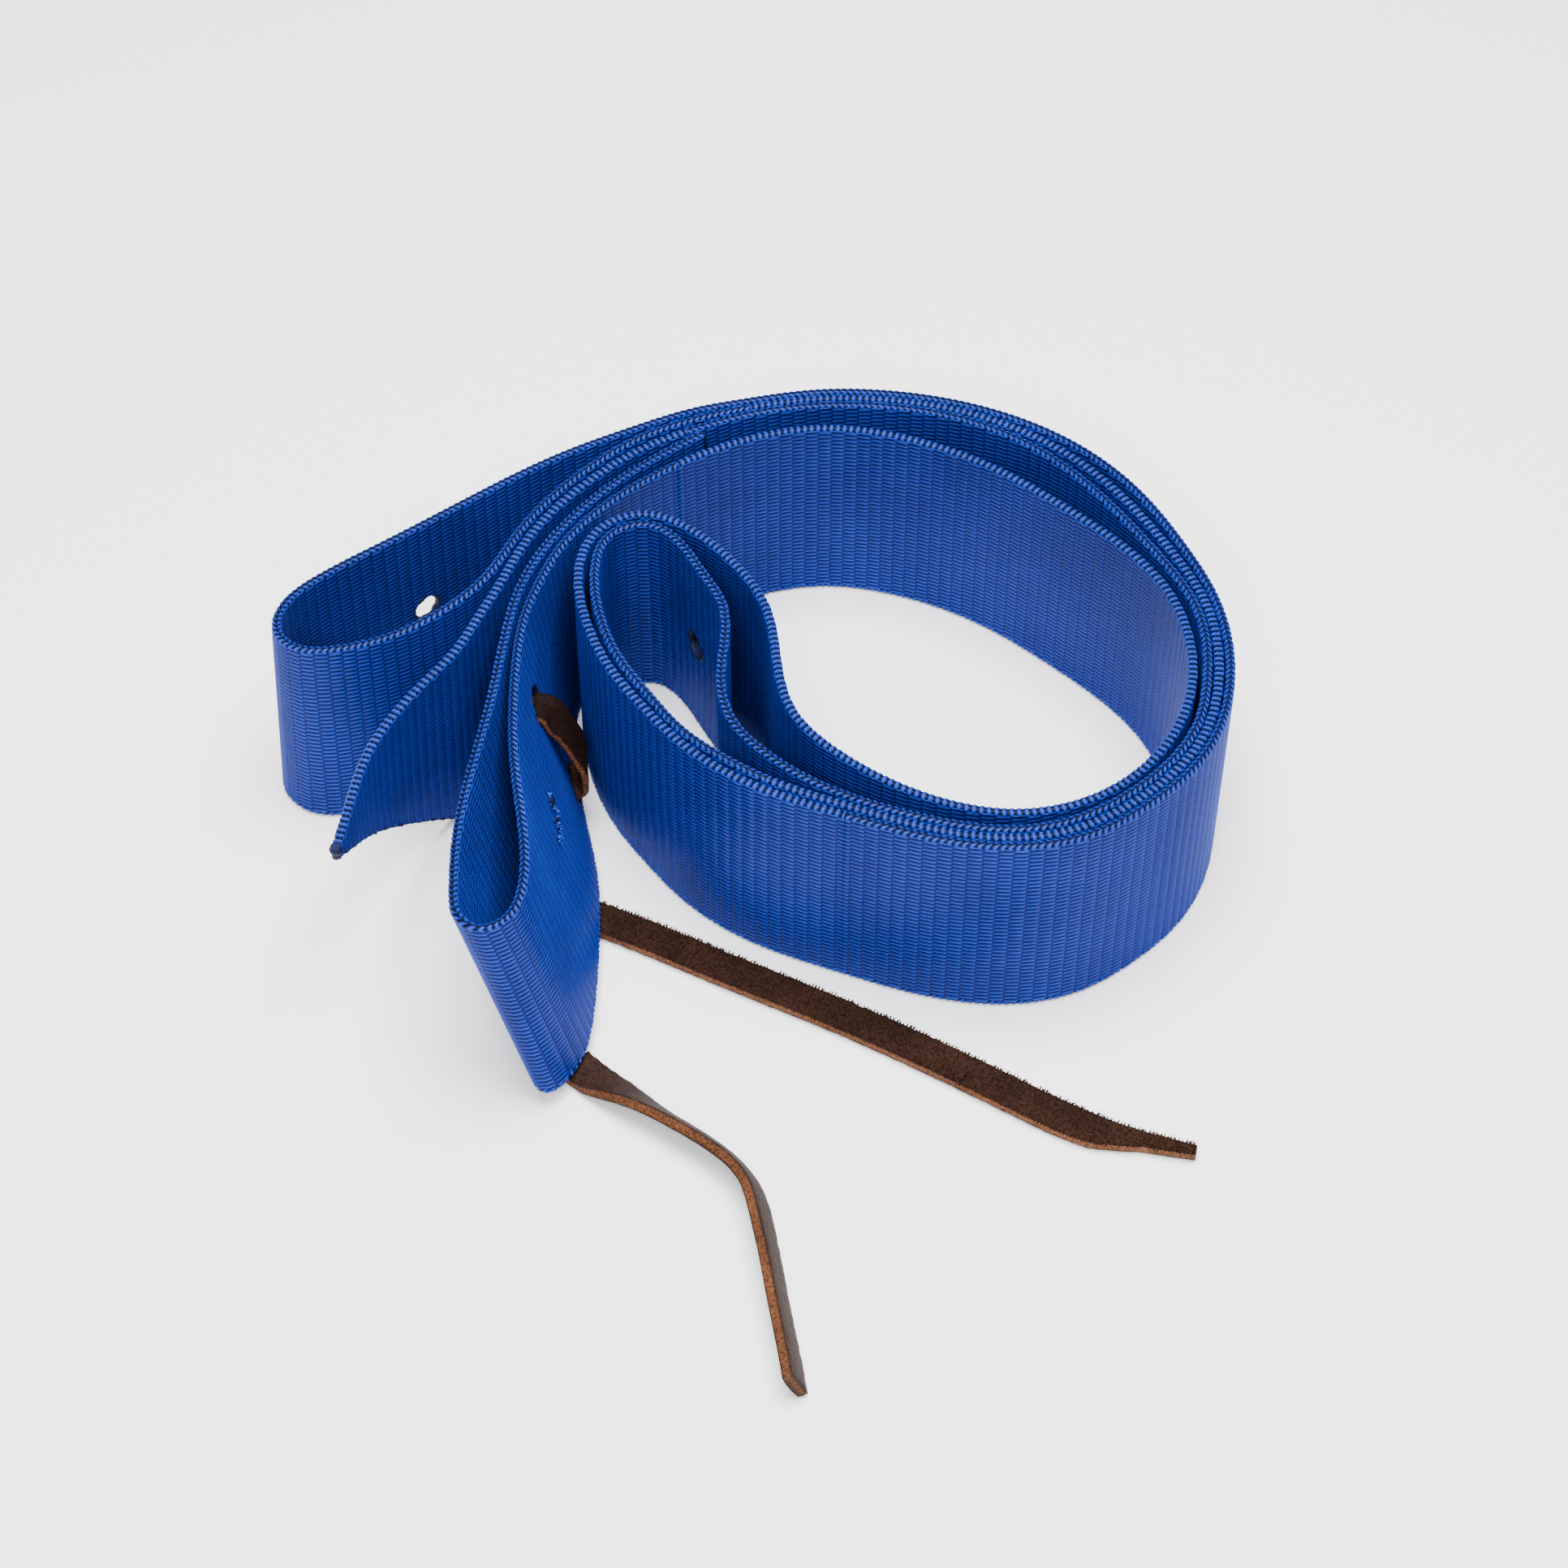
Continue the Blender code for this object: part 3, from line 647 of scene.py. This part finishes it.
def hole_place(x, y, z, first, last):
    """A hole's place as length along the strap and height over its middle line."""
    where = np.arange(first, last, STRAP_STEP)
    middle, up, _ = strap_frame(where)
    height = (z - middle[:, 2]) / up[:, 2]
    spot = middle + up * height[:, None]
    i = np.argmin(np.hypot(spot[:, 0] - x, spot[:, 1] - y))
    return where[i], height[i]


def section_start(number):
    """The length along the strap at which a section's first row stands."""
    rows_before = sum(len(rows) for rows in sections[:number])
    expected = rows_before / sum(len(rows) for rows in sections)
    near = np.linalg.norm(top_edge[:, :2] - sections[number][0][:2], axis=1)
    near[np.abs(along / strap_length - expected) > SAME_TURN] = 1
    return along[np.argmin(near)]


names = ["near_fold", "inner_lap", "outer_lap", "left_loop", "doubled_lap", "curl",
         "middle_lap", "loose_end"]
starts = {name: section_start(number) for number, name in enumerate(names)}
starts["inner_lap_front"] = (starts["inner_lap"] + starts["outer_lap"]) / 2
# Each hole is looked for in one stretch, since the turns lie close together.
burnt_left = hole_place(-0.06569, 0.03446, 0.0222, starts["left_loop"],
                        starts["left_loop"] + 0.12)
burnt_curl = hole_place(-0.00949, 0.02296, 0.0222, starts["curl"] + 0.05,
                        starts["middle_lap"])
laced_low = hole_place(-0.03549, -0.00304, 0.008, LACED_FROM, starts["inner_lap"])
laced_high = hole_place(-0.04109, -0.00544, 0.0324, LACED_FROM, starts["inner_lap"])
holes = [(*burnt_left, BURNT_RADIUS), (*burnt_curl, BURNT_RADIUS),
         (*laced_low, LACED_RADIUS), (*laced_high, LACED_RADIUS)]

# In each, the first colour is painted shade for grooves and seams, the last a painted
# highlight
face_cloth = woven_nylon("woven_nylon_face", "#02041a", "#0d1d69", "#213aa2", 0.4)
edge_cloth = woven_nylon("woven_nylon_selvedge", "#020518", "#0f2066", "#203b9e", 0.4)

total_columns = round(strap_length / COLUMN)
column_length = strap_length / total_columns
for key in list(starts)[1:]:  # stretches meet in the middle of a column, unseen
    starts[key] = (round(starts[key] / column_length) + 0.5) * column_length


def webbing(name, first, last, chevron):
    """One stretch of the strap, from one length to another."""
    whole = np.add.outer(np.arange(total_columns), COLUMN_POINTS).ravel()
    whole = np.r_[whole, total_columns]
    slack = 0.001             # of a column, so that rounding keeps both ends
    column = whole[(whole > first / column_length - slack)
                   & (whole < last / column_length + slack)]
    where = column * column_length
    steps = np.arange(round(column[0] * BEAD_STEPS), round(column[-1] * BEAD_STEPS) + 1)
    fine_column = steps / BEAD_STEPS
    fine = fine_column * column_length
    rings, relief_shade, length, across = woven_faces(where, column)
    rings, dropped = punched(rings.copy(), where, holes)
    parts = [loft(rings)]
    verts, quads, ends = parts[0]
    for inside in dropped:
        quads = quads[~inside[quads].all(axis=1)]
    parts[0] = (verts, quads, ends)
    layers = [(relief_shade, length, across)]
    for edge in (1, -1):
        kept = (fine < strap_length - CUT_LENGTH) | (edge > 0)
        bound, lifted, run, round_it = selvedge(fine[kept], fine_column[kept], edge,
                                                chevron)
        parts.append(loft(bound))
        layers.append((lifted, run, round_it))
    flat = [np.concatenate([np.ravel(layer[k]) for layer in layers]) for k in range(3)]
    # The point attribute carries the painted shade and highlight of the weave and the beads
    piece = skin(name, parts, {"relief_shade": flat[0]}, [face_cloth, edge_cloth])
    set_uv(piece, flat[1], flat[2])
    return piece


roll_pieces = [("near_fold", "inner_lap", 1), ("inner_lap", "inner_lap_front", 0),
               ("inner_lap_front", "outer_lap", 0), ("outer_lap", "left_loop", 1),
               ("left_loop", "doubled_lap", 1), ("doubled_lap", "curl", 0),
               ("curl", "middle_lap", 1), ("middle_lap", "loose_end", 1)]
for begin, end, chevron in roll_pieces:
    first, last = starts[begin], starts[end]
    stretch = webbing("strap_" + begin, first, last, chevron)
    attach(stretch, "roll")
    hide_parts("webbing_strap")


# ---- Burnt hole rims ----------------------------------------------------------------
# The holes are burnt through with a hot iron, which pushes the melted nylon up into a
# hard, dark, uneven ring on both faces. The lace goes through two of them.
RIM_BEAD = (0.55 * MM, 1.02 * MM)     # half sizes: across the rim, through the strap
LUMPS, LUMPINESS = 900, 0.35          # how many to the metre, and how much they swell it
GRAINS, GRAININESS = 2500, 0.2
burnt = melted_nylon("melted_nylon", "#0c1230")


def melted_bead(name, spine, ways, radii, body, closed=False):
    """A lumpy bead of melted nylon along a spine, with two ways to its surface."""
    rings = []
    for i, here in enumerate(spine):
        lump = 1 + LUMPINESS * noise.fractal(Vector(here) * LUMPS, 1.0, 2.0, 3)
        ring = []
        for turn in np.radians(np.arange(0, 360, 36)):
            spot = Vector(here) * GRAINS + Vector((turn * 2, 0, 0))
            grain = lump * (1 + GRAININESS * noise.noise(spot))
            ring.append(here + (ways[0][i] * math.cos(turn) * radii[0]
                                + ways[1][i] * math.sin(turn) * radii[1]) * grain)
        rings.append(ring)
    if closed:
        rings.append(rings[0])
    made = skin(name, [loft(np.array(rings), closed_ends=not closed)], {}, [burnt])
    joined = bmesh.new()
    joined.from_mesh(made.data)
    bmesh.ops.remove_doubles(joined, verts=joined.verts[:], dist=0.001 * MM)
    bmesh.ops.recalc_face_normals(joined, faces=joined.faces[:])
    joined.to_mesh(made.data)
    joined.free()
    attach(made, body)
    return made


for label, (spot, height, radius) in zip(
        ["left_loop", "curl", "lace_low", "lace_high"], holes):
    turn = np.radians(np.arange(0, 360, 7.5))
    middle, up, out = strap_frame(spot + radius * np.cos(turn))
    spine = middle + up * (height + radius * np.sin(turn))[:, None]
    centre, _, _ = strap_frame(np.array([spot]))
    away = spine - (centre + up[0] * height)
    away /= np.linalg.norm(away, axis=1)[:, None]
    melted_bead("burnt_rim_" + label, spine, (away, out), RIM_BEAD, "roll", closed=True)


# ---- Square end ---------------------------------------------------------------------
# The strap's inner end is cut square with a hot knife. It lies under the outer plies at
# the back, and its melted edge shows as a dark hard line.
SQUARE_BEAD = (0.45 * MM, 0.92 * MM)
SQUARE_RINGS = 60
SQUARE_INSET = 0.15 * MM      # from the very end of the strap
SQUARE_MARGIN = 0.3 * MM      # from each selvedge
height = np.linspace(-1, 1, SQUARE_RINGS) * (STRAP_WIDTH / 2 - SQUARE_MARGIN)
middle, up, out = strap_frame(np.full(SQUARE_RINGS, SQUARE_INSET))
forward = np.cross(up, out)
melted_bead("square_end_melted", middle + up * height[:, None], (forward, out),
            SQUARE_BEAD, "roll")


# ---- Frayed spots -------------------------------------------------------------------
# Small nicks in the near fold's right leg, below the lace. Dark melted crumbs sit in
# them and broken yarns, blue and paler blue, stand out of them.
yarn_blue, _, shader = new_material("loose_nylon_yarn_blue")
set_inputs(shader, Base_Color=srgb("#12309a"), Specular_IOR_Level=0.08)
yarn_pale, _, shader = new_material("loose_nylon_yarn_pale")
set_inputs(shader, Base_Color=srgb("#2f52c0"), Specular_IOR_Level=0.08)
YARN_RADIUS = 0.11 * MM
CRUMB_OUT = 1.02 * MM         # from the strap's middle to a crumb's
CRUMB_HALF_LENGTH = 1.6 * MM
CRUMB_HALF_THICKNESS = 0.36 * MM
CRUMB_RINGS = 12
YARNS_REACH = 2.2 * MM        # how far from a nick's middle its yarns are rooted
chance = np.random.default_rng(7)
nicks = [(-0.0376, -0.0270, 0.0281, 1.0), (-0.0367, -0.0305, 0.0259, 0.8),
         (-0.0365, -0.0347, 0.0256, 0.4)]
for number, (x, y, z, size) in enumerate(nicks):
    spot, height = hole_place(x, y, z, LACED_FROM, starts["inner_lap"])
    middle, up, out = (v[0] for v in strap_frame(np.array([spot])))
    outward = out * np.sign(out[0])
    ahead = np.cross(up, out)
    place = middle + up * height + outward * CRUMB_OUT
    spine = [place + ahead * share * CRUMB_HALF_LENGTH * size
             + up * 0.5 * MM * size * math.sin(5 * share)
             for share in np.linspace(-1, 1, CRUMB_RINGS)]
    melted_bead(f"nick_crumb_{number}", spine, ([up] * CRUMB_RINGS, [outward] * CRUMB_RINGS),
                (CRUMB_HALF_LENGTH * size, CRUMB_HALF_THICKNESS), "roll")
    for strand in range(int(9 * size) + 2):
        root = (place + ahead * chance.uniform(-1, 1) * YARNS_REACH * size
                + up * chance.uniform(-1, 1) * YARNS_REACH * size)
        lean = (up * chance.uniform(-1, 0.6) + ahead * chance.uniform(-0.8, 0.8))
        lean = lean * chance.uniform(0.6, 1.9) * MM
        rise = outward * chance.uniform(0.25, 0.8) * MM
        curve = [root + lean * 0.5 * far + rise * math.sin(0.8 * math.pi * min(far, 1))
                 for far in np.linspace(0, 2, 7)]
        path = smooth(curve, 0.15 * MM)
        right = np.cross(tangents(path), up)
        right /= np.linalg.norm(right, axis=1)[:, None]
        above = np.cross(tangents(path), right)
        turn = np.radians(np.arange(0, 360, 60))[:, None]
        rings = path[:, None] + YARN_RADIUS * (right[:, None] * np.cos(turn)
                                               + above[:, None] * np.sin(turn))
        loose = skin(f"loose_yarn_{number}_{strand}", [loft(rings)], {},
                     [yarn_pale if strand % 3 == 0 else yarn_blue])
        face_out(loose)
        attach(loose, "roll")


# ---- Loose pointed end --------------------------------------------------------------
# The strap's last stretch hangs free of the roll. Its end is cut on a slant with a hot
# knife, which leaves a dark, hard, melted edge, and it bends where it leaves the roll.
SLANT_BEAD = (0.42 * MM, 0.90 * MM)
SLANT_RINGS = 110
TIP_BEAD = (0.95 * MM, 1.05 * MM)
TIP_RINGS = 14
first = starts["loose_end"]
tip = webbing("strap_loose_end", first, strap_length, 0)
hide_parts("strap_tip")
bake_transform(tip)
where = np.linspace(strap_length - CUT_LENGTH, strap_length, SLANT_RINGS)
middle, up, out = strap_frame(where)
spine = middle + up * (cut_height(where) + 0.35 * MM)[:, None]
sloping = tangents(spine)
melted_cut = melted_bead("slanted_cut_melted", spine, (np.cross(sloping, out), out),
                         SLANT_BEAD, "loose_end")
rise = np.linspace(cut_height(where)[-1], STRAP_WIDTH / 2, TIP_RINGS)
end_spine = middle[-1] + up[-1] * rise[:, None]
forward = np.cross(up[-1], out[-1])
blunt = melted_bead("blunt_tip_melted", end_spine,
                    ([forward] * TIP_RINGS, [out[-1]] * TIP_RINGS),
                    TIP_BEAD, "loose_end")


# ---- Floor and light ----------------------------------------------------------------
# A wide sheet of white paper under a broad overhead softbox, with a weaker softbox in
# front, so that the shadows are soft.
FLOOR_SIZE = 6
FLOOR_DROP = 0.2 * MM         # so that the strap's beads don't sink into it
bpy.ops.mesh.primitive_plane_add(size=FLOOR_SIZE, location=(0, 0, -FLOOR_DROP))
floor = bpy.context.active_object
floor.name = "floor"
paper, _, shader = new_material("white_paper_floor")
set_inputs(shader, Base_Color=srgb("#fbfbfc"), Roughness=0.9)
floor.data.materials.append(paper)

world = bpy.data.worlds.new("studio")
bpy.context.scene.world = world
world.use_nodes = True
set_inputs(world.node_tree.nodes["Background"], Color=srgb("#ffffff"), Strength=0.62)


def softbox(name, place, target, size, power):
    """A square lamp that faces a target."""
    lamp = bpy.data.lights.new(name, "AREA")
    lamp.energy = power
    lamp.size = size
    rig = bpy.data.objects.new(name, lamp)
    rig.location = place
    rig.rotation_mode = "QUATERNION"
    rig.rotation_quaternion = (Vector(target) - Vector(place)).to_track_quat("-Z", "Y")
    bpy.context.scene.collection.objects.link(rig)


softbox("softbox_over", (0.05, 0.0, 1.0), (0, 0, 0), 0.7, 32)
softbox("softbox_front", (-0.1, -0.8, 0.9), (0, 0, 0.02), 0.45, 13)
